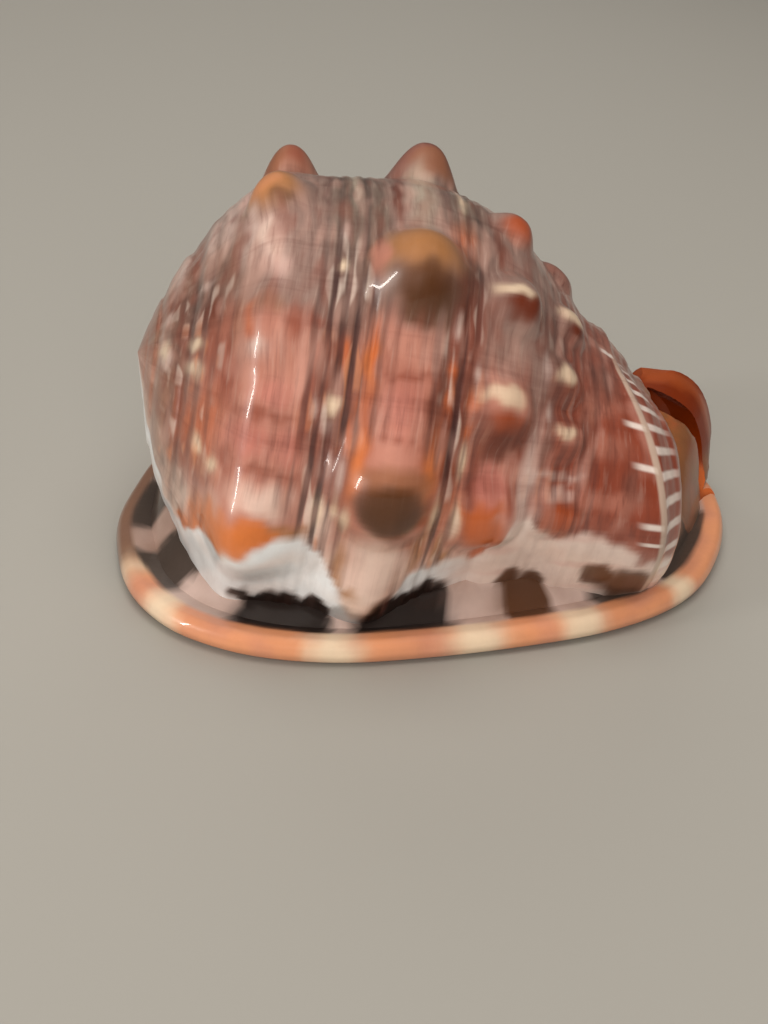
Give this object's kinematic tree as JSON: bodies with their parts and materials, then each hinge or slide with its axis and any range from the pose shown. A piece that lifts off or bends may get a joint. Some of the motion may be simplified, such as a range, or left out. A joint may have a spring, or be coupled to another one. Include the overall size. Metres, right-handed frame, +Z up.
{
  "type": "helmet shell",
  "caption": "Large coiled sea shell resting on its aperture: knobbed dome body, rolled outer lip, parietal shield, toothed slot and upturned canal; lies flat as a display piece.",
  "frame": {"origin": "centre of the bounding box in plan, on the ground that the base rests on", "axes": "+X from the apex of the spire towards the siphonal canal, -Y towards the outer lip, +Z up"},
  "size_m": [0.1498, 0.1188, 0.0895],
  "materials": {
    "shell": "glossy natural shell, red-brown, orange and pink with pale beads"
  },
  "bodies": {
    "root": {"shell": "shell"}
  },
  "joints": []
}
